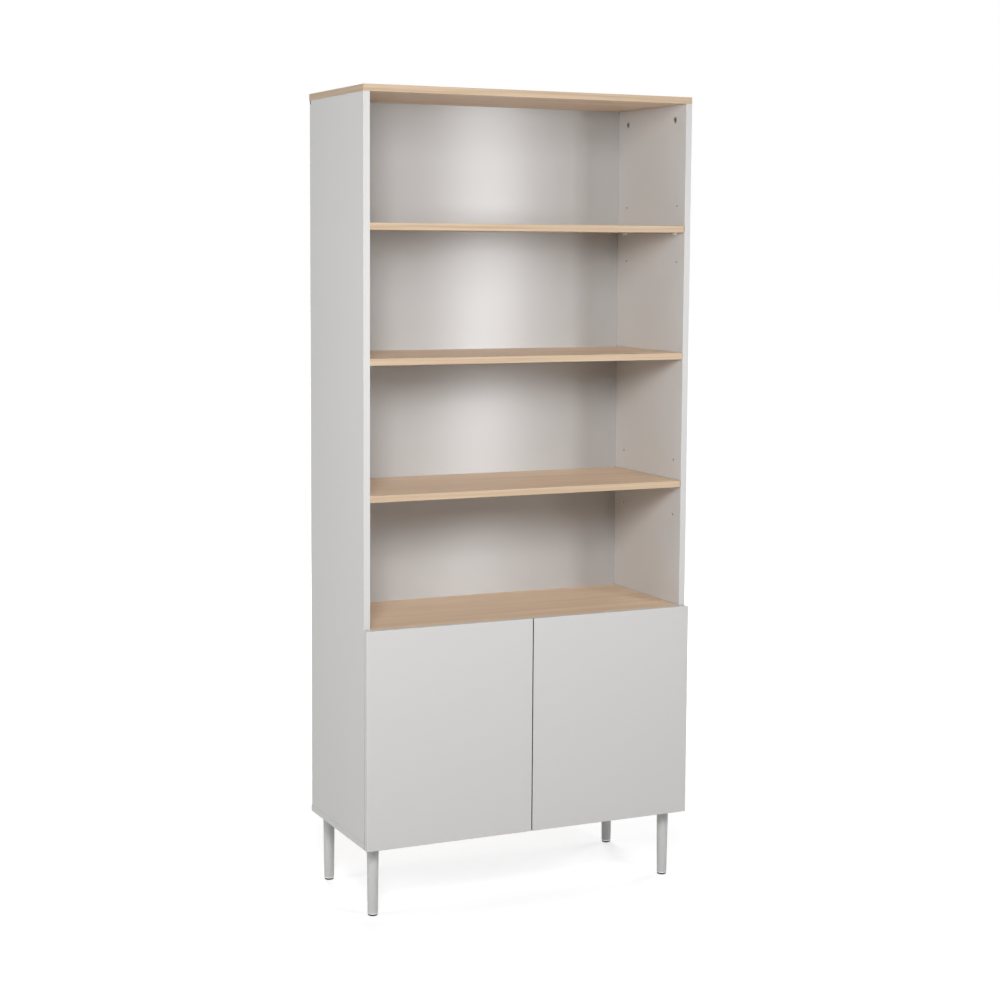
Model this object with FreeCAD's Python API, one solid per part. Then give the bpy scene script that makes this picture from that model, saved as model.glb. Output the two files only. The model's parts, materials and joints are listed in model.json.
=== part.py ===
import FreeCAD, Part
import math
import os

# Bookcase with a two-door cabinet. Origin on the floor under the middle, front toward -Y, +Z up, mm.

# Overall sizes
overall_width = 800.0
overall_height = 1817.0
carcass_depth = 340.0
leg_height = 160.0
board = 15.0
edge_radius = 0.8

# Cabinet height to the upper face of its top, and shelf places as shares of the open heights
cabinet_top_level = 648.0
lower_shelf_share = 0.253
middle_shelf_share = 0.5095
upper_shelf_share = 0.7608
inner_shelf_share = 0.5175

# Places in the depth
door_thickness = 15.0
door_gap = 2.5
door_split = 2.5
side_rear_setback = 4.0
shelf_front_setback = 2.0
inner_shelf_setback = 30.0
shelf_end_clearance = 0.5
shelf_rear_clearance = 1.0

# Back sheets in their grooves
back_sheet = 3.0
back_recess = 16.0
groove_depth = 7.0
groove_clearance = 0.2
back_seam = 1.0

# Shelf pins and the rows of pin holes in the sides
pin_radius = 2.5
pin_hole_radius = 2.55
pin_hole_depth = 10.0
pin_depth = 8.0
pin_front_setback = 37.0
pin_rear_setback = 63.0
pin_step = 64.0
pin_collar_radius = 3.0
pin_collar = 1.2
pin_tab_length = 9.0
pin_tab_width = 10.0
pin_tab = 2.0

# Cam fittings and dowels that hold the boards together
cam_radius = 7.5
cam_depth = 12.5
cam_distance = 34.0
cam_front_setback = 50.0
cam_rear_setback = 65.0
cam_slot_length = 11.0
cam_slot_width = 2.0
cam_slot_depth = 3.0
cam_hole_clearance = 0.05
bolt_radius = 3.5
bolt_hole_radius = 4.0
bolt_thread_radius = 2.5
bolt_thread_depth = 10.0
bolt_neck_radius = 2.0
bolt_head = 3.0
dowel_radius = 4.0
dowel_in_face = 10.0
dowel_in_edge = 20.0
dowel_chamfer = 0.8
dowel_end_clearance = 1.0

# Legs
leg_top_radius = 13.4
leg_foot_radius = 11.4
leg_inset_side = 33.0
leg_inset_front = 32.0
leg_inset_rear = 28.0
leg_rim = 1.0
leg_ring_height = 2.0
leg_ring_step = 0.8
glide_height = 4.0
glide_radius = 10.8
glide_rounding = 1.5
glide_peg_radius = 4.0
glide_peg = 10.0
stud_radius = 4.0
stud_in_leg = 18.0
stud_in_panel = 10.0
nut_radius = 5.5
nut_depth = 13.0

# Concealed door hinges
hinge_end_distance = 95.0
hinge_pivot_from_edge = 7.0
hinge_pivot_depth = 9.5
cup_radius = 17.5
cup_edge_distance = 3.0
cup_depth = 12.3
cup_wall = 1.0
cup_floor = 0.6
cup_pocket_clearance = 0.05
flange = 0.8
flange_length = 62.0
flange_width = 14.0
flange_screw_spacing = 48.0
hinge_pin_radius = 1.0
hinge_pin_clearance = 0.05
hinge_pin_play = 0.4
cheek_thickness = 1.6
cheek_width = 5.0
knuckle_radius = 1.9
arm_width = 12.0
arm_thickness = 2.0
arm_web = 1.6
arm_length = 62.0
arm_lip = 3.0
plate_thickness = 3.0
plate_length = 40.0
plate_width = 16.0
plate_wing_length = 12.0
plate_wing_width = 48.0
plate_setback = 37.0
plate_screw_spacing = 32.0
screw_radius = 1.75
screw_head_radius = 3.2
screw_head = 1.6
screw_depth = 9.0
screw_slot_length = 3.4
screw_slot_width = 0.8
screw_slot_depth = 0.9
arm_screw_radius = 3.0

# Push latches under the cabinet top
latch_from_middle = 48.0
latch_length = 72.0
latch_width = 17.0
latch_height = 15.0
latch_wing = 9.0
latch_wing_thickness = 3.0
latch_wing_length = 24.0
latch_rounding = 3.0
latch_setback = 3.0
latch_end_wall = 3.0
plunger_radius = 3.6
plunger_clearance = 0.05
plunger_length = 58.0
plunger_tip_radius = 4.6
plunger_tip = 1.6
plunger_reach = 0.9
strike_radius = 7.0
strike_thickness = 1.0

# Wall brackets under the top, let into notches at the rear of the sides
bracket_thickness = 2.0
bracket_height = 10.0
bracket_flange = 7.0
bracket_length = 72.0
bracket_end_inset = 0.5
bracket_notch_clearance = 0.5
bracket_hole_radius = 2.5
bracket_hole_inset = 12.0
bracket_screw_inset = 18.0
bracket_corner = 3.0

# Allowances for cutting and for telling edges apart
overrun = 1.0
match_tolerance = 0.001

# Levels and places worked out from the sizes above
half_width = overall_width / 2
overall_depth = carcass_depth + door_gap + door_thickness
door_front = -overall_depth / 2
door_rear = door_front + door_thickness
carcass_front = door_rear + door_gap
carcass_rear = carcass_front + carcass_depth
side_rear = carcass_rear - side_rear_setback
back_rear = carcass_rear - back_recess
back_front = back_rear - back_sheet
bottom_under = leg_height
bottom_upper = bottom_under + board
top_under = overall_height - board
inner_half = half_width - board
shelf_front = carcass_front + shelf_front_setback
open_height = top_under - cabinet_top_level
lower_shelf_level = cabinet_top_level + open_height * lower_shelf_share
middle_shelf_level = cabinet_top_level + open_height * middle_shelf_share
upper_shelf_level = cabinet_top_level + open_height * upper_shelf_share
inner_shelf_level = bottom_upper + (cabinet_top_level - board - bottom_upper) * inner_shelf_share
cam_rows = [carcass_front + cam_front_setback, carcass_rear - cam_rear_setback]
pin_rows = [carcass_front + pin_front_setback, carcass_rear - pin_rear_setback]
dowel_row = sum(cam_rows) / len(cam_rows)
fixed_shelf_levels = [middle_shelf_level, cabinet_top_level]
hinge_levels = [bottom_under + hinge_end_distance, cabinet_top_level - hinge_end_distance]

os.makedirs("parts", exist_ok=True)

x_axis = FreeCAD.Vector(1, 0, 0)
y_axis = FreeCAD.Vector(0, 1, 0)
z_axis = FreeCAD.Vector(0, 0, 1)
middle = FreeCAD.Vector(0, 0, 0)


def point(x, y, z):
    return FreeCAD.Vector(x, y, z)


def block(x_range, y_range, z_range):
    size = [high - low for low, high in (x_range, y_range, z_range)]
    return Part.makeBox(*size, point(x_range[0], y_range[0], z_range[0]))


def rod(start, direction, radius, length):
    return Part.makeCylinder(radius, length, start, direction)


def turned(profile, start):
    """A solid of revolution about a vertical axis from (radius, height) points."""
    points = [point(radius, 0, height) for radius, height in profile]
    face = Part.Face(Part.makePolygon(points + points[:1]))
    solid = face.revolve(middle, z_axis, 360)
    solid.translate(start)
    return solid


def mirrored(shape):
    return shape.mirror(middle, x_axis)


def both_sides(shapes):
    return list(shapes) + [mirrored(shape) for shape in shapes]


def eased_front(shape, y):
    """Rounds the edges that lie in the plane of the front face at y."""
    edges = [edge for edge in shape.Edges if abs(edge.CenterOfMass.y - y) < match_tolerance]
    return shape.makeFillet(edge_radius, edges)


def eased_outside(shape):
    """Rounds the edges of a board's front and of its faces on the outsides of the case."""
    edges = [edge for edge in shape.Edges
             if abs(edge.CenterOfMass.y - carcass_front) < match_tolerance
             or abs(abs(edge.CenterOfMass.x) - half_width) < match_tolerance]
    return shape.makeFillet(edge_radius, edges)


def save(name, shapes):
    solids = shapes if isinstance(shapes, list) else [shapes]
    result = solids[0] if len(solids) == 1 else Part.makeCompound(solids)
    result.exportStep("parts/" + name + ".step")


# Fittings: cams, bolts and dowels

def cross_slot(face, direction, length, width, depth):
    """Two crossed slots for a driver, sunk into a face; direction points out of the metal."""
    first = x_axis if abs(direction.z) > match_tolerance else z_axis
    bars = []
    for along in (first, direction.cross(first)):
        across = direction.cross(along)
        corner = face - direction * depth - along * (length / 2) - across * (width / 2)
        far_corner = corner + along * length
        outline = [corner, far_corner, far_corner + across * width, corner + across * width, corner]
        bars.append(Part.Face(Part.makePolygon(outline)).extrude(direction * (depth + overrun)))
    return bars


def cam(start, direction, bolt_direction):
    """A cam disc with a crossed slot in the face that shows; start is on the inner face."""
    disc = rod(start, direction, cam_radius, cam_depth)
    slots = cross_slot(start, -direction, cam_slot_length, cam_slot_width, cam_slot_depth)
    bore = rod(start + direction * (board / 2) - bolt_direction * cam_radius, bolt_direction,
               bolt_radius, cam_radius)
    return disc.cut(slots + [bore])


def cam_pocket(start, direction):
    return rod(start - direction * overrun, direction, cam_radius + cam_hole_clearance, cam_depth + overrun)


def bolt(seat, direction):
    """A cam bolt screwed into a face at seat, its head reaching toward the cam along direction."""
    thread = rod(seat - direction * bolt_thread_depth, direction, bolt_thread_radius, bolt_thread_depth)
    shank_length = cam_distance - cam_radius - bolt_head
    shank = rod(seat, direction, bolt_radius, shank_length)
    neck = rod(seat + direction * shank_length, direction, bolt_neck_radius, bolt_head * 2)
    head = rod(seat + direction * (shank_length + bolt_head * 2), direction, bolt_radius, bolt_head)
    return thread.fuse([shank, neck, head])


def bolt_seat(seat, direction):
    start = seat - direction * bolt_thread_depth
    return rod(start, direction, bolt_thread_radius, bolt_thread_depth + overrun)


def bolt_bore(seat, direction):
    return rod(seat - direction * overrun, direction, bolt_hole_radius, cam_distance + overrun)


def dowel(seat, direction):
    """A wooden dowel across the joint at seat, the longer end along direction."""
    length = dowel_in_face + dowel_in_edge
    solid = rod(seat - direction * dowel_in_face, direction, dowel_radius, length)
    ends = [edge for edge in solid.Edges if len(edge.Vertexes) == 1]
    return solid.makeChamfer(dowel_chamfer, ends)


def dowel_face_hole(seat, direction):
    return rod(seat - direction * dowel_in_face, direction, dowel_radius, dowel_in_face + overrun)


def dowel_edge_hole(seat, direction):
    depth = dowel_in_edge + dowel_end_clearance
    return rod(seat - direction * overrun, direction, dowel_radius, depth + overrun)


# Places of the fittings on the left side of the carcass

edge_x = -half_width + board / 2
inner_x = -inner_half
end_joints = [(top_under, -z_axis), (bottom_upper, z_axis)]
shelf_joints = [(level - board / 2, x_axis) for level in fixed_shelf_levels]


def end_seats(z):
    return [point(edge_x, y, z) for y in cam_rows]


def shelf_seats(z):
    return [point(inner_x, y, z) for y in cam_rows]


# Side panels

def pin_height(shelf_level):
    """The middle of a peg, whose upper quarter is sunk in the tab under the shelf."""
    return shelf_level - board - pin_tab - pin_radius / 2


def pin_levels(shelf_level):
    return [pin_height(shelf_level) + step * pin_step for step in (-1, 0, 1)]


def side_panel():
    panel = block((-half_width, inner_x), (carcass_front, side_rear), (bottom_upper, top_under))
    panel = eased_outside(panel)
    groove = block((inner_x - groove_depth, inner_x + overrun),
                   (back_front, back_rear + groove_clearance),
                   (bottom_upper - overrun, top_under + overrun))
    cuts = [groove]
    for z, direction in end_joints:
        for seat in end_seats(z):
            cuts.append(bolt_bore(seat, direction))
            cam_start = point(inner_x, seat.y, seat.z) + direction * cam_distance
            cuts.append(cam_pocket(cam_start, -x_axis))
        cuts.append(dowel_edge_hole(point(edge_x, dowel_row, z), direction))
    for z, direction in shelf_joints:
        cuts.extend(bolt_seat(seat, direction) for seat in shelf_seats(z))
        cuts.append(dowel_face_hole(point(inner_x, dowel_row, z), direction))
    for shelf_level in (upper_shelf_level, lower_shelf_level, inner_shelf_level):
        for z in pin_levels(shelf_level):
            for y in pin_rows:
                start = point(inner_x + overrun, y, z)
                cuts.append(rod(start, -x_axis, pin_hole_radius, pin_hole_depth + overrun))
    for z in hinge_levels:
        for seat in plate_screw_seats(z):
            cuts.append(rod(seat + x_axis * overrun, -x_axis, screw_radius, screw_depth + overrun))
    cuts.append(block((-half_width - overrun, inner_x + overrun),
                      (side_rear - bracket_flange - bracket_notch_clearance, side_rear + overrun),
                      (top_under - bracket_height - bracket_notch_clearance, top_under + overrun)))
    return panel.cut(cuts)


# Top, bottom and fixed shelves

def end_board(z_range, joint_z, direction):
    panel = eased_outside(block((-half_width, half_width), (carcass_front, carcass_rear), z_range))
    groove_low = joint_z - direction.z * groove_depth
    groove_high = joint_z + direction.z * overrun
    groove = block((-inner_half - groove_depth, inner_half + groove_depth),
                   (back_front, back_rear + groove_clearance),
                   sorted((groove_low, groove_high)))
    cuts = [groove]
    for seat in end_seats(joint_z):
        cuts.extend(both_sides([bolt_seat(seat, direction)]))
    cuts.extend(both_sides([dowel_face_hole(point(edge_x, dowel_row, joint_z), direction)]))
    return panel.cut(cuts)


def top_panel():
    panel = end_board((top_under, overall_height), top_under, -z_axis)
    return panel.cut(both_sides([bracket_screw()]))


def bottom_panel():
    panel = end_board((bottom_under, bottom_upper), bottom_upper, z_axis)
    holes = [rod(place - z_axis * overrun, z_axis, nut_radius, nut_depth + overrun)
             for place in leg_places()]
    return panel.cut(holes)


def fixed_shelf(level, more_holes):
    z = level - board / 2
    panel = block((-inner_half, inner_half), (shelf_front, back_front), (level - board, level))
    panel = eased_front(panel, shelf_front)
    cuts = [bolt_bore(seat, x_axis) for seat in shelf_seats(z)]
    for seat in shelf_seats(z):
        cam_start = point(seat.x + cam_distance, seat.y, level - board)
        cuts.append(cam_pocket(cam_start, z_axis))
    cuts.append(dowel_edge_hole(point(inner_x, dowel_row, z), x_axis))
    return panel.cut(both_sides(cuts + more_holes))


def loose_shelf(level, setback):
    half = inner_half - shelf_end_clearance
    front = carcass_front + setback
    panel = block((-half, half), (front, back_front - shelf_rear_clearance), (level - board, level))
    return eased_front(panel, front)


def back_panel(z_low, z_high):
    half = inner_half + groove_depth
    return block((-half, half), (back_front, back_rear), (z_low, z_high))


# Shelf pins

def shelf_pin(y, level):
    """A plastic pin with a collar and a flat tab under the shelf."""
    z = pin_height(level)
    peg = rod(point(inner_x - pin_depth, y, z), x_axis, pin_radius, pin_depth + pin_tab_length)
    collar = rod(point(inner_x, y, z), x_axis, pin_collar_radius, pin_collar)
    tab = block((inner_x, inner_x + pin_tab_length),
                (y - pin_tab_width / 2, y + pin_tab_width / 2),
                (level - board - pin_tab, level - board))
    return peg.fuse([collar, tab]).removeSplitter()


def shelf_pins(level):
    return both_sides([shelf_pin(y, level) for y in pin_rows])


# Legs

def leg_places():
    x = half_width - leg_inset_side
    front = carcass_front + leg_inset_front
    rear = carcass_rear - leg_inset_rear
    return [point(-x, front, bottom_under), point(x, front, bottom_under),
            point(-x, rear, bottom_under), point(x, rear, bottom_under)]


def leg(place):
    """A tapered metal leg, bored for its stud above and for the glide's peg below."""
    foot = glide_height + leg_ring_height
    length = leg_height - foot
    profile = [
        (0, glide_peg - leg_ring_height),
        (glide_peg_radius, glide_peg - leg_ring_height),
        (glide_peg_radius, 0),
        (leg_foot_radius, 0),
        (leg_top_radius, length - leg_rim),
        (leg_top_radius - leg_rim / 2, length),
        (stud_radius, length),
        (stud_radius, length - stud_in_leg),
        (0, length - stud_in_leg),
    ]
    return turned(profile, point(place.x, place.y, foot))


def leg_ring(place):
    outer = leg_foot_radius - leg_ring_step
    ring = rod(middle, z_axis, outer, leg_ring_height)
    ring = ring.cut(rod(-z_axis * overrun, z_axis, glide_peg_radius, leg_ring_height + overrun * 2))
    ring.translate(point(place.x, place.y, glide_height))
    return ring


def foot_glide(place):
    profile = [
        (0, 0),
        (glide_radius - glide_rounding, 0),
        (glide_radius, glide_rounding),
        (glide_radius, glide_height),
        (glide_peg_radius, glide_height),
        (glide_peg_radius, glide_height + glide_peg),
        (0, glide_height + glide_peg),
    ]
    return turned(profile, point(place.x, place.y, 0))


def leg_stud(place):
    return rod(place - z_axis * stud_in_leg, z_axis, stud_radius, stud_in_leg + stud_in_panel)


def leg_nut(place):
    sleeve = rod(place, z_axis, nut_radius, nut_depth)
    return sleeve.cut(rod(place - z_axis * overrun, z_axis, stud_radius, nut_depth + overrun * 2))


# Doors and their hinges; everything here is the left door, mirrored for the right one

door_edge = -half_width
door_inner_edge = -door_split / 2
cup_x = door_edge + cup_edge_distance + cup_radius
pivot_x = door_edge + hinge_pivot_from_edge
pivot_y = door_rear - hinge_pivot_depth


def cup_screw_seats(z):
    return [point(cup_x, door_rear + flange, z + side * flange_screw_spacing / 2) for side in (-1, 1)]


def plate_screw_seats(z):
    y = carcass_front + plate_setback
    return [point(inner_x, y, z + side * plate_screw_spacing / 2) for side in (-1, 1)]


def door():
    panel = block((door_edge, door_inner_edge), (door_front, door_rear), (bottom_under, cabinet_top_level))
    panel = panel.makeFillet(edge_radius, panel.Edges)
    cuts = []
    for z in hinge_levels:
        start = point(cup_x, door_rear - cup_depth, z)
        cuts.append(rod(start, y_axis, cup_radius + cup_pocket_clearance, cup_depth + overrun))
        for seat in cup_screw_seats(z):
            cuts.append(rod(seat, -y_axis, screw_radius, screw_depth + flange))
    strike = strike_place()
    cuts.append(rod(strike + y_axis * overrun, -y_axis, screw_radius, screw_depth + overrun))
    return panel.cut(cuts)


def hinge_cup(z):
    """A pressed cup let into the door, with a flange for two screws and cheeks that hold the pin."""
    start = point(cup_x, door_rear - cup_depth, z)
    cup = rod(start, y_axis, cup_radius, cup_depth)
    wings = block((cup_x - flange_width / 2, cup_x + flange_width / 2),
                  (door_rear, door_rear + flange),
                  (z - flange_length / 2, z + flange_length / 2))
    corners = [edge for edge in wings.Edges
               if abs(edge.CenterOfMass.y - (door_rear + flange / 2)) < match_tolerance]
    wings = wings.makeFillet(flange_width / 3, corners)
    rim = rod(point(cup_x, door_rear, z), y_axis, cup_radius, flange)
    hollow = rod(start + y_axis * cup_floor, y_axis, cup_radius - cup_wall, cup_depth + flange)
    cheek_span = (pivot_x - cheek_width / 2, pivot_x + cheek_width / 2)
    cheek_rise = (start.y, pivot_y + knuckle_radius)
    pin_end = hinge_pin_length() / 2
    cheeks = [block(cheek_span, cheek_rise, (z - pin_end, z - pin_end + cheek_thickness)).common(cup),
              block(cheek_span, cheek_rise, (z + pin_end - cheek_thickness, z + pin_end)).common(cup)]
    shell = cup.fuse([wings, rim]).cut(hollow).fuse(cheeks).removeSplitter()
    pin_hole = rod(point(pivot_x, pivot_y, z - hinge_pin_length() / 2), z_axis,
                   hinge_pin_radius, hinge_pin_length())
    holes = [rod(seat - y_axis * (flange + overrun), y_axis, screw_radius, flange + overrun * 2)
             for seat in cup_screw_seats(z)]
    return shell.cut([pin_hole] + holes)


def hinge_pin_length():
    return arm_width + (hinge_pin_play + cheek_thickness) * 2


def hinge_pin(z):
    start = point(pivot_x, pivot_y, z - hinge_pin_length() / 2)
    return rod(start, z_axis, hinge_pin_radius, hinge_pin_length())


def hinge_arm(z):
    """A bent arm: a knuckle round the pin, a web across the cup and a long leg back onto the plate."""
    low = z - arm_width / 2
    leg_x = inner_x + plate_thickness
    web = block((pivot_x, leg_x + arm_thickness),
                (pivot_y - arm_web / 2, pivot_y + arm_web / 2), (low, low + arm_width))
    back_leg = block((leg_x, leg_x + arm_thickness),
                     (pivot_y - arm_web / 2, carcass_front + arm_length), (low, low + arm_width))
    rib = block((leg_x, leg_x + arm_lip + arm_thickness),
                (carcass_front + plate_setback / 2, carcass_front + arm_length), (low, low + arm_thickness))
    second_rib = rib.copy()
    second_rib.translate(z_axis * (arm_width - arm_thickness))
    knuckle = rod(point(pivot_x, pivot_y, low), z_axis, knuckle_radius, arm_width)
    arm = knuckle.fuse([web, back_leg, rib, second_rib]).removeSplitter()
    bore = rod(point(pivot_x, pivot_y, low - overrun), z_axis,
               hinge_pin_radius + hinge_pin_clearance, arm_width + overrun * 2)
    screw_hole = rod(arm_screw_seat(z) - x_axis * (arm_thickness + overrun), x_axis,
                     screw_radius, arm_thickness + overrun * 2)
    return arm.cut([bore, screw_hole])


def arm_screw_seat(z):
    return point(inner_x + plate_thickness + arm_thickness, carcass_front + plate_setback, z)


def hinge_plate(z):
    """A cross-shaped mounting plate on the side, with wings for two screws."""
    y = carcass_front + plate_setback
    stem = block((inner_x, inner_x + plate_thickness),
                 (y - plate_length / 2, y + plate_length / 2), (z - plate_width / 2, z + plate_width / 2))
    wings = block((inner_x, inner_x + plate_thickness),
                  (y - plate_wing_length / 2, y + plate_wing_length / 2),
                  (z - plate_wing_width / 2, z + plate_wing_width / 2))
    corners = [edge for edge in wings.Edges
               if abs(edge.CenterOfMass.x - (inner_x + plate_thickness / 2)) < match_tolerance]
    wings = wings.makeFillet(plate_wing_length / 3, corners)
    plate = stem.fuse(wings).removeSplitter()
    holes = [rod(seat - x_axis * overrun, x_axis, screw_radius, plate_thickness + overrun * 2)
             for seat in plate_screw_seats(z)]
    centre_hole = rod(point(inner_x - overrun, y, z), x_axis, screw_radius, plate_thickness + overrun * 2)
    return plate.cut(holes + [centre_hole])


def screw(seat, direction, depth, head_radius):
    """A wood screw with a chamfered head and a crossed slot; direction points out of the wood."""
    shank = rod(seat - direction * depth, direction, screw_radius, depth)
    head = rod(seat, direction, head_radius, screw_head)
    top = [edge for edge in head.Edges
           if len(edge.Vertexes) == 1 and (edge.CenterOfMass - seat).dot(direction) > screw_head / 2]
    head = head.makeChamfer(screw_head / 2, top)
    face = seat + direction * screw_head
    slots = cross_slot(face, direction, screw_slot_length, screw_slot_width, screw_slot_depth)
    return shank.fuse(head).cut(slots)


# Push latches

def latch_x():
    return -latch_from_middle


def latch_axis_z():
    return cabinet_top_level - board - latch_height / 2


def strike_place():
    return point(latch_x(), door_rear, latch_axis_z())


def latch_screw_seats():
    z = cabinet_top_level - board - latch_wing_thickness
    y = carcass_front + latch_setback + latch_length / 2
    offset = latch_width / 2 + latch_wing / 2
    return [point(latch_x() + side * offset, y, z) for side in (-1, 1)]


def latch_screw_holes():
    depth = latch_wing_thickness + screw_depth
    return [rod(seat, z_axis, screw_radius, depth) for seat in latch_screw_seats()]


def latch_housing():
    """A moulded sleeve with two screw wings, bored for the plunger and closed behind."""
    front = carcass_front + latch_setback
    upper = cabinet_top_level - board
    body = block((latch_x() - latch_width / 2, latch_x() + latch_width / 2),
                 (front, front + latch_length), (upper - latch_height, upper))
    lower_edges = [edge for edge in body.Edges
                   if abs(edge.CenterOfMass.z - (upper - latch_height)) < match_tolerance
                   and abs(edge.tangentAt(edge.FirstParameter).y) > 1 - match_tolerance]
    body = body.makeFillet(latch_rounding, lower_edges)
    half_wing = latch_width / 2 + latch_wing
    wing_middle = front + latch_length / 2
    wings = block((latch_x() - half_wing, latch_x() + half_wing),
                  (wing_middle - latch_wing_length / 2, wing_middle + latch_wing_length / 2),
                  (upper - latch_wing_thickness, upper))
    upright = [edge for edge in wings.Edges
               if abs(edge.CenterOfMass.z - (upper - latch_wing_thickness / 2)) < match_tolerance]
    wings = wings.makeFillet(latch_wing / 3, upright)
    bore = rod(point(latch_x(), front - overrun, latch_axis_z()), y_axis,
               plunger_radius + plunger_clearance, latch_length - latch_end_wall + overrun)
    holes = [rod(seat - z_axis * overrun, z_axis, screw_radius, latch_wing_thickness + overrun * 2)
             for seat in latch_screw_seats()]
    return body.fuse(wings).removeSplitter().cut([bore] + holes)


def latch_plunger():
    """The sliding pin, drawn pressed in, with a wider tip in front of the housing."""
    tip_front = carcass_front - plunger_reach
    tip = rod(point(latch_x(), tip_front, latch_axis_z()), y_axis, plunger_tip_radius, plunger_tip)
    stem = rod(point(latch_x(), tip_front + plunger_tip, latch_axis_z()), y_axis,
               plunger_radius, plunger_length)
    return tip.fuse(stem).removeSplitter()


def strike_plate():
    plate = rod(strike_place(), y_axis, strike_radius, strike_thickness)
    hole = rod(strike_place() - y_axis * overrun, y_axis, screw_radius, strike_thickness + overrun * 2)
    return plate.cut(hole)


def strike_screw():
    """A flush screw that fills the hole of the strike plate."""
    start = strike_place() + y_axis * strike_thickness
    return rod(start, -y_axis, screw_radius, strike_thickness + screw_depth)


# Wall brackets

bracket_level = top_under - bracket_height / 2
bracket_start = -half_width + bracket_end_inset
bracket_end = bracket_start + bracket_length


def wall_bracket():
    """A small steel angle: one flange screwed under the top, one upright in line with the sides' rear."""
    inside = side_rear - bracket_thickness
    upright = block((bracket_start, bracket_end), (inside, side_rear),
                    (top_under - bracket_height, top_under))
    corners = [edge for edge in upright.Edges
               if abs(edge.CenterOfMass.y - (inside + bracket_thickness / 2)) < match_tolerance
               and edge.CenterOfMass.z < bracket_level]
    upright = upright.makeFillet(bracket_corner, corners)
    flange_plate = block((bracket_start, bracket_end), (side_rear - bracket_flange, side_rear),
                         (top_under - bracket_thickness, top_under))
    angle = upright.fuse(flange_plate).removeSplitter()
    hole_start = point(bracket_end - bracket_hole_inset, inside - overrun, bracket_level)
    wall_hole = rod(hole_start, y_axis, bracket_hole_radius, bracket_thickness + overrun * 2)
    return angle.cut([wall_hole, bracket_screw()])


def bracket_screw():
    """A flush screw through the flange into the top; its shape also cuts its holes."""
    y = side_rear - (bracket_flange + bracket_thickness) / 2
    start = point(inner_x + bracket_screw_inset, y, top_under - bracket_thickness)
    return rod(start, z_axis, screw_radius, bracket_thickness + screw_depth)


# Carcass boards

side = side_panel()
save("side_panel_left", side)
save("side_panel_right", mirrored(side))
save("top_panel", top_panel())
save("bottom_panel", bottom_panel())
save("fixed_middle_shelf", fixed_shelf(middle_shelf_level, []))
save("cabinet_top_shelf", fixed_shelf(cabinet_top_level, latch_screw_holes()))
save("adjustable_shelf_upper", loose_shelf(upper_shelf_level, shelf_front_setback))
save("adjustable_shelf_lower", loose_shelf(lower_shelf_level, shelf_front_setback))
save("cabinet_inner_shelf", loose_shelf(inner_shelf_level, inner_shelf_setback))

seam_level = middle_shelf_level - board / 2
save("back_panel_lower", back_panel(bottom_upper - groove_depth, seam_level - back_seam / 2))
save("back_panel_upper", back_panel(seam_level + back_seam / 2, top_under + groove_depth))

save("shelf_pins_upper", shelf_pins(upper_shelf_level))
save("shelf_pins_lower", shelf_pins(lower_shelf_level))
save("shelf_pins_cabinet", shelf_pins(inner_shelf_level))

# Fittings of the carcass

side_cams = []
side_bolts = []
dowels = []
for joint_z, direction in end_joints:
    for seat in end_seats(joint_z):
        cam_start = point(inner_x, seat.y, seat.z) + direction * cam_distance
        side_cams.append(cam(cam_start, -x_axis, direction))
        side_bolts.append(bolt(seat, direction))
    dowels.append(dowel(point(edge_x, dowel_row, joint_z), direction))
shelf_cams = []
shelf_bolts = []
for joint_z, direction in shelf_joints:
    for seat in shelf_seats(joint_z):
        cam_start = point(seat.x + cam_distance, seat.y, joint_z - board / 2)
        shelf_cams.append(cam(cam_start, z_axis, direction))
        shelf_bolts.append(bolt(seat, direction))
    dowels.append(dowel(point(inner_x, dowel_row, joint_z), direction))
save("cam_locks_sides", both_sides(side_cams))
save("cam_locks_shelves", both_sides(shelf_cams))
save("cam_bolts_sides", both_sides(side_bolts))
save("cam_bolts_shelves", both_sides(shelf_bolts))
save("wood_dowels", both_sides(dowels))

# Legs with their fittings

leg_names = ["front_left", "front_right", "rear_left", "rear_right"]
for name, place in zip(leg_names, leg_places()):
    save("leg_" + name, leg(place))
    save("foot_glide_" + name, foot_glide(place))
save("leg_rings", [leg_ring(place) for place in leg_places()])
save("leg_studs", [leg_stud(place) for place in leg_places()])
save("leg_insert_nuts", [leg_nut(place) for place in leg_places()])

# Doors, hinges, latches and brackets, left and mirrored right

cup_screws = [screw(seat, y_axis, screw_depth, screw_head_radius)
              for z in hinge_levels for seat in cup_screw_seats(z)]
plate_screws = [screw(seat + x_axis * plate_thickness, x_axis, plate_thickness + screw_depth,
                      screw_head_radius)
                for z in hinge_levels for seat in plate_screw_seats(z)]
arm_screws = [screw(arm_screw_seat(z), x_axis, plate_thickness + arm_thickness, arm_screw_radius)
              for z in hinge_levels]
latch_screws = [screw(seat, -z_axis, latch_wing_thickness + screw_depth, screw_head_radius)
                for seat in latch_screw_seats()]

paired_nodes = {
    "door": [door()],
    "hinge_cups": [hinge_cup(z) for z in hinge_levels],
    "hinge_pins": [hinge_pin(z) for z in hinge_levels],
    "hinge_arms": [hinge_arm(z) for z in hinge_levels],
    "hinge_plates": [hinge_plate(z) for z in hinge_levels],
    "hinge_cup_screws": cup_screws,
    "hinge_plate_screws": plate_screws + arm_screws,
    "latch_housing": [latch_housing()],
    "latch_plunger": [latch_plunger()],
    "latch_screws": latch_screws,
    "strike_plate": [strike_plate(), strike_screw()],
    "wall_bracket": [wall_bracket()],
}
for name, shapes in paired_nodes.items():
    save(name + "_left", shapes)
    save(name + "_right", [mirrored(shape) for shape in shapes])
save("wall_bracket_screws", both_sides([bracket_screw()]))
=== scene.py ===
import json
import math

import bpy
from mathutils import Matrix, Vector

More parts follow.
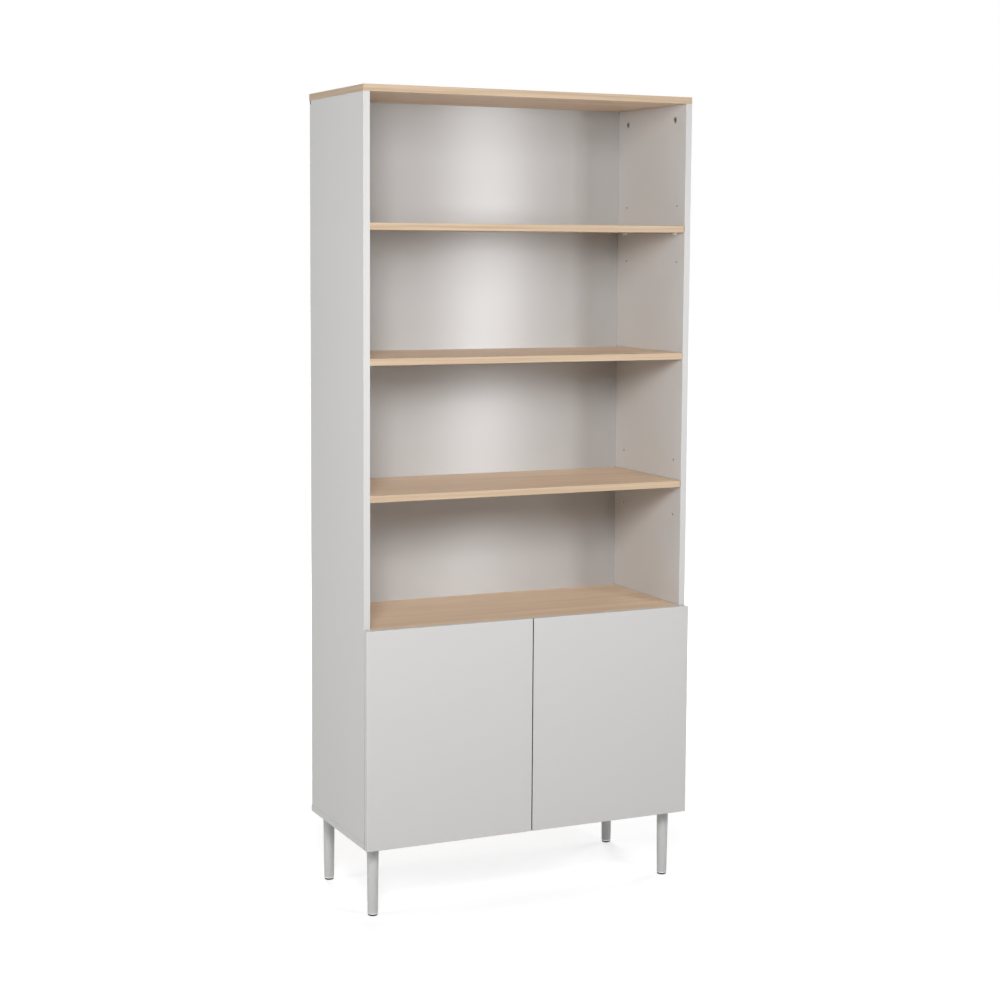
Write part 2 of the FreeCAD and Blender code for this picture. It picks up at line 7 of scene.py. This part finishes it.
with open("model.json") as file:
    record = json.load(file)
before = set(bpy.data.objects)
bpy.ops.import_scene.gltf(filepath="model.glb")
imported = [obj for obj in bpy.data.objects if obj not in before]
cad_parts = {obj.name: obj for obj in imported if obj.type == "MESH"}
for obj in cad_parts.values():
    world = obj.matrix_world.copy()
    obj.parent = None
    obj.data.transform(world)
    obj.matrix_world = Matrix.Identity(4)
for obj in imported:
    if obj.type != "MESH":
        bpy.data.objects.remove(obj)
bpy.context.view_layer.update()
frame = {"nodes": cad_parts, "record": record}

# Camera, fitted to the edges in the photograph; its place in metres, lens and sensor in millimetres
camera_place = Vector((-1.941, -4.157, 1.4765))
camera_azimuth = math.radians(-25.005)
camera_pitch = math.radians(5.797)
camera_roll = math.radians(0.349)
camera_lens = 72.09
camera_sensor = 36.0
camera_shift = -0.05

# Lights: name, place, point aimed at, width, height, watts, colour
lights = [
    ("key", (0.84, -1.6, 1.50), (0.0, 0.1, 0.40), 0.2, 0.5, 8.6, (0.965, 0.98, 1.0)),
    ("front", (-1.10, -1.8, 1.72), (0.1, 0.0, 0.60), 0.45, 0.45, 16.8, (0.975, 0.985, 1.0)),
    ("fill", (-1.6, -3.4, 2.4), (0.0, 0.0, 0.75), 1.2, 1.2, 63.0, (0.998, 0.999, 1.0)),
    ("left", (-3.6, 0.1, 1.7), (-0.4, 0.0, 1.1), 1.6, 2.0, 38.0, (0.99, 0.99, 1.0)),
    ("rear", (0.9, 4.0, 2.8), (0.0, 0.2, 1.0), 2.4, 2.4, 95.0, (1.0, 1.0, 1.0)),
    ("right", (3.9, 0.9, 2.0), (0.4, 0.0, 1.0), 2.0, 2.0, 56.0, (1.0, 1.0, 1.0)),
]
world_light = 0.04
backdrop_light = 1.0

# Floor, a disc in metres; its glow goes from the first strength to the second over the reach
floor_radius = 40.0
floor_sides = 96
floor_glow = (0.53, 1.0)
floor_glow_reach = (0.6, 4.0)

# Colours, linear
white = (1.0, 1.0, 1.0, 1.0)
grey_paint = (0.640, 0.632, 0.622)
grey_edge = (0.650, 0.640, 0.626)
door_grey = (0.644, 0.629, 0.613)
back_foil = (0.456, 0.452, 0.449)
# The oak's level faces get a lighter copy than its edges: painted light on the faces and painted shade on the
# edges, in place of the difference in light they get
oak_light = (0.850, 0.655, 0.475)
oak_dark = (0.690, 0.503, 0.343)
oak_edge_light = (0.680, 0.515, 0.355)
oak_edge_dark = (0.464, 0.335, 0.221)
# Painted shade: the end edges get a darker copy of the edge colour, making up for the light falling on them
# from the side
oak_end_painted_shade = 0.85
# Painted shade: near black inside drilled holes, and darker lines in joints and corners where shade falls
painted_hole_shade = (0.035, 0.029, 0.024)
painted_corner_shade = (0.170, 0.160, 0.150)
raw_fibre_light = (0.420, 0.305, 0.200)
raw_fibre_dark = (0.330, 0.230, 0.145)
beech_light = (0.68, 0.49, 0.32)
beech_dark = (0.52, 0.34, 0.20)
bright_steel = (0.88, 0.88, 0.87)
zinc = (0.66, 0.66, 0.65)
dull_zinc = (0.50, 0.50, 0.49)
leg_grey = (0.58, 0.58, 0.57)
bracket_black = (0.018, 0.018, 0.018)
glide_black = (0.030, 0.030, 0.029)
pin_white = (0.94, 0.93, 0.91)
latch_grey = (0.42, 0.42, 0.41)
floor_light = (0.62, 0.62, 0.62)
floor_dark = (0.60, 0.60, 0.60)

# Grain, in features per metre along X, Y and Z
board_cloud = (3.0, 3.0, 3.0)
orange_peel = (900.0, 900.0, 900.0)
foil_cloud = (4.0, 4.0, 4.0)
foil_peel = (500.0, 500.0, 500.0)
raw_fibres = (160.0, 160.0, 420.0)
oak_fine = (5.0, 520.0, 520.0)
oak_broad = (1.6, 34.0, 60.0)
oak_pores = (14.0, 1500.0, 1500.0)
oak_lines = (2.5, 60.0, 210.0)
beech_flecks = (900.0, 900.0, 60.0)
coat_cloud = (25.0, 25.0, 8.0)
coat_grain = (1600.0, 1600.0, 1600.0)
metal_cloud = (60.0, 60.0, 60.0)
turned_grain = (900.0, 900.0, 60.0)
rolled_grain = (120.0, 900.0, 900.0)
cast_grain = (900.0, 900.0, 900.0)
plastic_cloud = (80.0, 80.0, 80.0)
plastic_grain = (1100.0, 1100.0, 1100.0)
floor_cloud = (1.5, 1.5, 1.5)

# Lengths in the materials, in metres: how far wear reaches from an edge, shade into a joint, and bumps rise
board_wear = 0.0012
coat_wear = 0.0008
plastic_wear = 0.0006
metal_wear = 0.0004
joint_reach = 0.006
fine_bump = 0.0002
oak_bump = 0.0003
metal_bump = 0.0001

# Settings of the noise, of the masks for worn edges and of the masks for painted shade in joints, corners and
# holes
noise_roughness = 0.55
wear_samples = 4
joint_samples = 8

# Ranges that the noise and the masks are read over
noise_range = (0.3, 0.7)
broad_range = (0.36, 0.64)
lines_range = (0.34, 0.66)
flecks_range = (0.35, 0.65)
pores_range = (0.62, 0.72)
pore_depth_range = (0.6, 0.75)
edge_bend_range = (1.0, 0.85)
joint_range = (0.68, 0.45)
drilled_range = (0.42, 0.26)
front_range = (0.6, 0.95)
rear_range = (0.5, 0.8)
end_range = (0.6, 0.9)
not_level_range = (0.9, 0.6)


def scaled(colour, factor):
    return tuple(channel * factor for channel in colour)


class Nodes:
    """A material's node tree with short helpers for the parts used again and again."""

    # Sockets of the Mix node where it mixes colours
    mix_inputs = (0, 6, 7)
    mix_result = 2

    def __init__(self, name):
        self.material = bpy.data.materials.new(name)
        self.material.use_nodes = True
        tree = self.material.node_tree
        self.nodes = tree.nodes
        self.links = tree.links
        self.shader = self.nodes["Principled BSDF"]
        self.coords = self.nodes.new("ShaderNodeTexCoord")

    def join(self, source, target):
        self.links.new(source, target)

    def feed(self, socket, value):
        """Link the socket to another node's output, or set it to a number or a colour."""
        if isinstance(value, (int, float)):
            socket.default_value = value
        elif isinstance(value, tuple):
            socket.default_value = (*value, 1.0)
        else:
            self.join(value, socket)

    def set(self, socket, value):
        self.shader.inputs[socket].default_value = value

    def noise(self, scale, detail=3.0):
        """Noise over the object's own coordinates."""
        mapping = self.nodes.new("ShaderNodeMapping")
        mapping.inputs["Scale"].default_value = scale
        texture = self.nodes.new("ShaderNodeTexNoise")
        texture.inputs["Scale"].default_value = 1.0
        texture.inputs["Detail"].default_value = detail
        texture.inputs["Roughness"].default_value = noise_roughness
        self.join(self.coords.outputs["Object"], mapping.inputs["Vector"])
        self.join(mapping.outputs["Vector"], texture.inputs["Vector"])
        return texture.outputs["Fac"]

    def span(self, source, span_range, to_low=0.0, to_high=1.0):
        """The source, brought from the range to the span between two numbers."""
        node = self.nodes.new("ShaderNodeMapRange")
        node.inputs["From Min"].default_value, node.inputs["From Max"].default_value = span_range
        node.inputs["To Min"].default_value = to_low
        node.inputs["To Max"].default_value = to_high
        self.join(source, node.inputs["Value"])
        return node.outputs["Result"]

    def maths(self, operation, *values):
        node = self.nodes.new("ShaderNodeMath")
        node.operation = operation
        for socket, value in zip(node.inputs, values):
            self.feed(socket, value)
        return node.outputs["Value"]

    def blend(self, factor, first, second):
        node = self.nodes.new("ShaderNodeMix")
        node.data_type = "RGBA"
        for place, value in zip(self.mix_inputs, (factor, first, second)):
            self.feed(node.inputs[place], value)
        return node.outputs[self.mix_result]

    def mottled(self, cloud, colour, darkest, lightest):
        """The colour, varied by the cloud between two factors."""
        return self.blend(self.span(cloud, noise_range), scaled(colour, darkest), scaled(colour, lightest))

    def towards(self, axis):
        """How far the surface faces along an axis of the object, from -1 to 1."""
        split = self.nodes.new("ShaderNodeSeparateXYZ")
        self.join(self.coords.outputs["Normal"], split.inputs["Vector"])
        return split.outputs[axis]

    def facing(self, axis):
        """The same, either way, from 0 to 1."""
        return self.maths("ABSOLUTE", self.towards(axis))

    def wear(self, radius, strength):
        """A mask that is bright along edges."""
        bevel = self.nodes.new("ShaderNodeBevel")
        bevel.samples = wear_samples
        bevel.inputs["Radius"].default_value = radius
        geometry = self.nodes.new("ShaderNodeNewGeometry")
        dot = self.nodes.new("ShaderNodeVectorMath")
        dot.operation = "DOT_PRODUCT"
        self.join(bevel.outputs["Normal"], dot.inputs[0])
        self.join(geometry.outputs["Normal"], dot.inputs[1])
        return self.span(dot.outputs["Value"], edge_bend_range, to_high=strength)

    def paint_recess_shade(self, tone):
        """The tone with painted shade: darker lines in joints and corners, and near black inside drilled
        holes, where shade falls.
        """
        shade = self.nodes.new("ShaderNodeAmbientOcclusion")
        shade.samples = joint_samples
        shade.inputs["Distance"].default_value = joint_reach
        # Painted shade: the occlusion mask darkens joints and corners and turns drilled holes near black
        lines = self.span(shade.outputs["AO"], joint_range, to_high=0.55)
        holes = self.span(shade.outputs["AO"], drilled_range)
        return self.blend(holes, self.blend(lines, tone, painted_corner_shade), painted_hole_shade)

    def colour(self, source):
        self.join(source, self.shader.inputs["Base Color"])

    def roughness(self, source, low, high):
        self.join(self.span(source, noise_range, low, high), self.shader.inputs["Roughness"])

    def upright_sheen(self):
        """Draw the highlights out along Z, as a foil with fine upright strokes does."""
        upright = self.nodes.new("ShaderNodeCombineXYZ")
        upright.inputs["Z"].default_value = 1.0
        self.join(upright.outputs["Vector"], self.shader.inputs["Tangent"])
        self.set("Anisotropic", 1.0)

    def bump(self, height, strength, distance):
        node = self.nodes.new("ShaderNodeBump")
        node.inputs["Strength"].default_value = strength
        node.inputs["Distance"].default_value = distance
        self.join(height, node.inputs["Height"])
        self.join(node.outputs["Normal"], self.shader.inputs["Normal"])


def grey_board(name, face, edge):
    """Satin lacquered board with a faint orange peel; its front and rear have the edge's colour."""
    paint = Nodes(name)
    cloud = paint.noise(board_cloud, detail=4.0)
    peel = paint.noise(orange_peel, detail=2.0)
    tone = paint.mottled(cloud, face, darkest=0.975, lightest=1.02)
    tone = paint.blend(paint.span(paint.facing("Y"), front_range), tone, edge)
    tone = paint.blend(paint.wear(board_wear, strength=0.5), tone, scaled(edge, factor=1.08))
    # Painted shade in joints, corners and drilled holes
    paint.colour(paint.paint_recess_shade(tone))
    paint.roughness(cloud, low=0.46, high=0.54)
    paint.set("Specular IOR Level", 0.35)
    paint.bump(peel, strength=0.05, distance=fine_bump)
    return paint.material


def back_sheet():
    """Thin hardboard, raw and rougher behind; its foil is smoother than the boards, with an upright sheen."""
    paint = Nodes("back_foil")
    cloud = paint.noise(foil_cloud)
    peel = paint.noise(foil_peel, detail=2.0)
    foil = paint.mottled(cloud, back_foil, darkest=0.97, lightest=1.02)
    fibres = paint.span(paint.noise(raw_fibres, detail=5.0), noise_range)
    rear = paint.span(paint.towards("Y"), rear_range)
    paint.colour(paint.blend(rear, foil, paint.blend(fibres, raw_fibre_dark, raw_fibre_light)))
    foil_rough = paint.span(cloud, noise_range, to_low=0.345, to_high=0.365)
    rear_rough = paint.span(paint.towards("Y"), rear_range, to_high=0.4)
    paint.join(paint.maths("ADD", foil_rough, rear_rough), paint.shader.inputs["Roughness"])
    paint.set("Specular IOR Level", 1.0)
    paint.set("IOR", 1.6)
    paint.upright_sheen()
    paint.bump(peel, strength=0.04, distance=fine_bump)
    return paint.material


def oak_decor():
    """Oak decor with fine straight grain along the boards; on the end edges the grain follows the band."""
    paint = Nodes("oak_decor")
    ends = paint.span(paint.facing("X"), end_range)

    def grain(scale, detail):
        along, across, upright = scale
        return paint.blend(ends, paint.noise(scale, detail), paint.noise((across, along, upright), detail))

    fine = grain(oak_fine, detail=4.0)
    pores = grain(oak_pores, detail=2.0)

    def streaks(broad, span_range, share):
        fine_part = paint.span(fine, noise_range, to_high=1.0 - share)
        return paint.maths("ADD", fine_part, paint.span(broad, span_range, to_high=share))

    face_streaks = streaks(grain(oak_broad, detail=3.0), broad_range, share=0.55)
    edge_streaks = streaks(grain(oak_lines, detail=3.0), lines_range, share=0.65)
    face = paint.blend(face_streaks, oak_dark, oak_light)
    front_edge = paint.blend(edge_streaks, oak_edge_dark, oak_edge_light)
    # Painted shade on the end edges
    end_dark, end_light = scaled(oak_edge_dark, oak_end_painted_shade), scaled(oak_edge_light, oak_end_painted_shade)
    end_edge = paint.blend(edge_streaks, end_dark, end_light)
    edge = paint.blend(ends, front_edge, end_edge)
    # Painted light: level faces take the lighter oak and upright edges the darker one, evening out the light
    # they get
    tone = paint.blend(paint.span(paint.facing("Z"), not_level_range), face, edge)
    tone = paint.blend(paint.span(pores, pores_range, to_high=0.35), tone, scaled(oak_dark, factor=0.62))
    tone = paint.blend(paint.wear(board_wear, strength=0.35), tone, scaled(oak_edge_light, factor=1.05))
    paint.colour(tone)
    paint.roughness(fine, low=0.42, high=0.54)
    paint.set("Specular IOR Level", 0.4)
    height = paint.maths("SUBTRACT", fine, paint.span(pores, pore_depth_range, to_high=0.6))
    paint.bump(height, strength=0.12, distance=oak_bump)
    return paint.material


def powder_coat(name, tone, rough):
    """Matt coat with a fine grain, lighter along edges."""
    paint = Nodes(name)
    grain = paint.noise(coat_grain)
    plain = paint.mottled(paint.noise(coat_cloud), tone, darkest=0.95, lightest=1.04)
    paint.colour(paint.blend(paint.wear(coat_wear, strength=0.4), plain, scaled(tone, factor=1.25)))
    paint.roughness(grain, *rough)
    paint.bump(grain, strength=0.15, distance=fine_bump)
    return paint.material


def plated_metal(name, tone, rough, grain, slotted=False):
    """Metal with brush marks; where it is slotted, painted shade darkens its slots."""
    paint = Nodes(name)
    brushed = paint.noise(grain)
    plain = paint.mottled(paint.noise(metal_cloud), tone, darkest=0.88, lightest=1.05)
    worn = paint.blend(paint.wear(metal_wear, strength=0.4), plain, scaled(tone, factor=1.15))
    # Painted shade in the slots of slotted parts
    paint.colour(paint.paint_recess_shade(worn) if slotted else worn)
    paint.set("Metallic", 1.0)
    paint.roughness(brushed, *rough)
    paint.bump(brushed, strength=0.08, distance=metal_bump)
    return paint.material


def moulded_plastic(name, tone, rough):
    """Plastic with a fine mould grain, lighter along edges."""
    paint = Nodes(name)
    grain = paint.noise(plastic_grain)
    plain = paint.mottled(paint.noise(plastic_cloud), tone, darkest=0.93, lightest=1.06)
    paint.colour(paint.blend(paint.wear(plastic_wear, strength=0.35), plain, scaled(tone, factor=1.2)))
    paint.roughness(grain, *rough)
    paint.bump(grain, strength=0.1, distance=fine_bump)
    return paint.material


def raw_beech():
    """Unfinished wood of the dowels, with short flecks."""
    paint = Nodes("raw_beech")
    flecks = paint.noise(beech_flecks)
    paint.colour(paint.blend(paint.span(flecks, flecks_range), beech_dark, beech_light))
    paint.roughness(flecks, low=0.6, high=0.75)
    paint.bump(flecks, strength=0.2, distance=fine_bump)
    return paint.material


def seen_rays(nodes, links):
    """One for the camera's rays and for mirrored or refracted ones, and zero for light on the object."""
    rays = nodes.new("ShaderNodeLightPath")
    seen = rays.outputs["Is Camera Ray"]
    for kind in ("Is Glossy Ray", "Is Transmission Ray"):
        either = nodes.new("ShaderNodeMath")
        either.operation = "MAXIMUM"
        links.new(seen, either.inputs[0])
        links.new(rays.outputs[kind], either.inputs[1])
        seen = either.outputs["Value"]
    return seen


def floor_paint():
    """Pale floor; a glow for seen rays alone brings it up to the backdrop's white away from the object."""
    paint = Nodes("floor_paint")
    cloud = paint.noise(floor_cloud)
    paint.colour(paint.blend(paint.span(cloud, noise_range), floor_dark, floor_light))
    paint.roughness(cloud, low=0.75, high=0.85)
    reach = paint.nodes.new("ShaderNodeVectorMath")
    reach.operation = "LENGTH"
    paint.join(paint.coords.outputs["Object"], reach.inputs[0])
    glow = paint.span(reach.outputs["Value"], floor_glow_reach, *floor_glow)
    seen_glow = paint.maths("MULTIPLY", seen_rays(paint.nodes, paint.links), glow)
    paint.set("Emission Color", white)
    paint.join(seen_glow, paint.shader.inputs["Emission Strength"])
    return paint.material


# Materials by the record's slots, and those of nodes whose names start with these words; rough is a range
slot_materials = {
    "oak_decor": oak_decor(),
    "grey_board": grey_board("grey_board", grey_paint, grey_edge),
    "back_sheet": back_sheet(),
    "bright_metal": plated_metal("bright_metal", bright_steel, rough=(0.25, 0.40), grain=turned_grain),
    "zinc_steel": plated_metal("zinc_steel", zinc, rough=(0.23, 0.38), grain=rolled_grain),
    "grey_metal": powder_coat("grey_metal", leg_grey, rough=(0.44, 0.56)),
    "black_plastic": moulded_plastic("black_plastic", glide_black, rough=(0.43, 0.57)),
    "clear_white_plastic": moulded_plastic("milky_plastic", pin_white, rough=(0.21, 0.35)),
    "grey_plastic": moulded_plastic("grey_plastic", latch_grey, rough=(0.38, 0.52)),
    "black_metal": powder_coat("black_metal", bracket_black, rough=(0.44, 0.56)),
    "beech": raw_beech(),
}
node_materials = {
    "door_": grey_board("door_paint", door_grey, door_grey),
    "cam_locks_": plated_metal("cam_zinc", dull_zinc, rough=(0.41, 0.56), grain=cast_grain, slotted=True),
}


def dress_nodes():
    for part in frame["record"]["subparts"]:
        name = part["node"]
        own = [material for start, material in node_materials.items() if name.startswith(start)]
        materials = frame["nodes"][name].data.materials
        materials.clear()
        materials.append(own[0] if own else slot_materials[part["material_slot"]])


def add_floor():
    turns = [2 * math.pi * step / floor_sides for step in range(floor_sides)]
    points = [(math.cos(turn) * floor_radius, math.sin(turn) * floor_radius, 0.0) for turn in turns]
    mesh = bpy.data.meshes.new("floor")
    mesh.from_pydata(points, [], [list(range(floor_sides))])
    floor = bpy.data.objects.new("floor", mesh)
    bpy.context.collection.objects.link(floor)
    mesh.materials.append(floor_paint())


def add_world():
    """A faint light from all round, and a white backdrop for seen rays."""
    world = bpy.data.worlds.new("studio")
    bpy.context.scene.world = world
    world.use_nodes = True
    nodes, links = world.node_tree.nodes, world.node_tree.links
    choice = nodes.new("ShaderNodeMixShader")
    links.new(seen_rays(nodes, links), choice.inputs["Fac"])
    sources = ((nodes["Background"], world_light), (nodes.new("ShaderNodeBackground"), backdrop_light))
    for socket, (source, strength) in zip(choice.inputs[1:], sources):
        source.inputs["Color"].default_value = white
        source.inputs["Strength"].default_value = strength
        links.new(source.outputs["Background"], socket)
    links.new(choice.outputs["Shader"], nodes["World Output"].inputs["Surface"])


def add_light(name, place, target, width, height, watts, colour):
    data = bpy.data.lights.new(name, "AREA")
    data.shape = "RECTANGLE"
    data.size = width
    data.size_y = height
    data.energy = watts
    data.color = colour
    lamp = bpy.data.objects.new(name, data)
    lamp.location = place
    lamp.rotation_euler = (Vector(target) - Vector(place)).to_track_quat("-Z", "Y").to_euler()
    lamp.visible_camera = False
    bpy.context.collection.objects.link(lamp)


def add_camera():
    data = bpy.data.cameras.new("camera")
    data.sensor_width = camera_sensor
    data.lens = camera_lens
    data.shift_y = camera_shift
    level = math.cos(camera_pitch)
    forward = Vector((-math.sin(camera_azimuth) * level, math.cos(camera_azimuth) * level,
                      -math.sin(camera_pitch)))
    right = Vector((math.cos(camera_azimuth), math.sin(camera_azimuth), 0.0))
    up = right.cross(forward)
    turned_right = right * math.cos(camera_roll) + up * math.sin(camera_roll)
    turned_up = up * math.cos(camera_roll) - right * math.sin(camera_roll)
    turn = Matrix((turned_right, turned_up, -forward)).transposed().to_4x4()
    camera = bpy.data.objects.new("camera", data)
    camera.matrix_world = Matrix.Translation(camera_place) @ turn
    bpy.context.collection.objects.link(camera)
    bpy.context.scene.camera = camera


dress_nodes()
add_floor()
add_world()
for light in lights:
    add_light(*light)
add_camera()
bpy.context.scene.view_settings.view_transform = "Standard"
